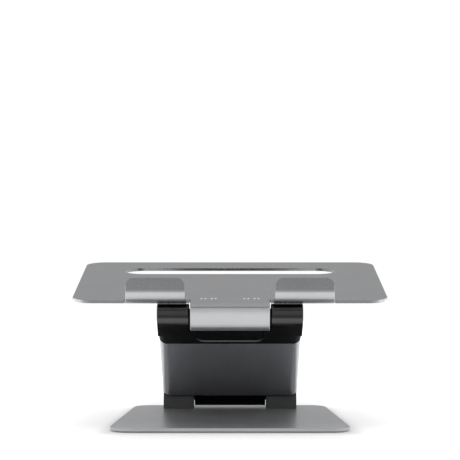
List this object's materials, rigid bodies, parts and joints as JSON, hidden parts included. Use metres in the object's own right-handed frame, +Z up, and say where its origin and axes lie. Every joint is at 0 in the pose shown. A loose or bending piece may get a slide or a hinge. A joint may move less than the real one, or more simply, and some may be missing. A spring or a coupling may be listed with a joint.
{
  "type": "laptop riser",
  "caption": "Aluminium laptop riser with a slotted, hooked tray on a hollow folding arm, hinged over a flat base plate.",
  "frame": {"origin": "on the desk, under the middle of the whole object at rest", "axes": "+X to the user's right, -Y towards the user, +Z up"},
  "size_m": [0.27, 0.2192, 0.1355],
  "materials": {
    "aluminium": "fine bead-blasted, anodised grey",
    "black_plastic": "satin black moulding",
    "barrel_plastic": "matt black moulding",
    "washer_plastic": "matt dark grey",
    "silicone": "matt soft silicone",
    "steel": "bright zinc-plated",
    "bronze": "plain sintered bronze"
  },
  "bodies": {
    "base": {"base_block_screws": "steel", "base_foot_front_left": "silicone", "base_foot_front_right": "silicone", "base_foot_rear_left": "silicone", "base_foot_rear_right": "silicone", "base_hinge_block_left": "black_plastic", "base_hinge_block_right": "black_plastic", "base_hinge_cover_left": "black_plastic", "base_hinge_cover_right": "black_plastic", "base_hinge_friction_washer_left": "washer_plastic", "base_hinge_friction_washer_right": "washer_plastic", "base_hinge_nut_left": "steel", "base_hinge_nut_right": "steel", "base_hinge_shaft": "steel", "base_hinge_springs_left": "steel", "base_hinge_springs_right": "steel", "base_hinge_thrust_washer_left": "steel", "base_hinge_thrust_washer_right": "steel", "base_plate": "aluminium"},
    "arm": {"arm_lower_cap": "black_plastic", "arm_lower_screws": "steel", "arm_sleeve": "aluminium", "arm_upper_cap": "black_plastic", "arm_upper_screws": "steel", "base_hinge_bush_left": "bronze", "base_hinge_bush_right": "bronze", "tray_hinge_cover_left": "black_plastic", "tray_hinge_cover_right": "black_plastic", "tray_hinge_friction_washer_left": "washer_plastic", "tray_hinge_friction_washer_right": "washer_plastic", "tray_hinge_nut_left": "steel", "tray_hinge_nut_right": "steel", "tray_hinge_shaft": "steel", "tray_hinge_springs_left": "steel", "tray_hinge_springs_right": "steel", "tray_hinge_thrust_washer_left": "steel", "tray_hinge_thrust_washer_right": "steel"},
    "tray": {"hook_pad_left": "silicone", "hook_pad_right": "silicone", "tray_hinge_barrel": "barrel_plastic", "tray_hinge_bush_left": "bronze", "tray_hinge_bush_right": "bronze", "tray_pad_left": "silicone", "tray_pad_right": "silicone", "tray_plate": "aluminium", "tray_rivets": "aluminium"}
  },
  "joints": [
    {"name": "base_hinge", "type": "hinge", "parent": "base", "child": "arm", "pos_m": [0, 0.05666, 0.0164], "axis": [-1, 0, 0], "range_deg": [-29.8, 45.2]},
    {"name": "tray_hinge", "type": "hinge", "parent": "arm", "child": "tray", "pos_m": [0, -0.08739, 0.0989], "axis": [1, 0, 0], "range_deg": [-36.35, 63.65]}
  ]
}
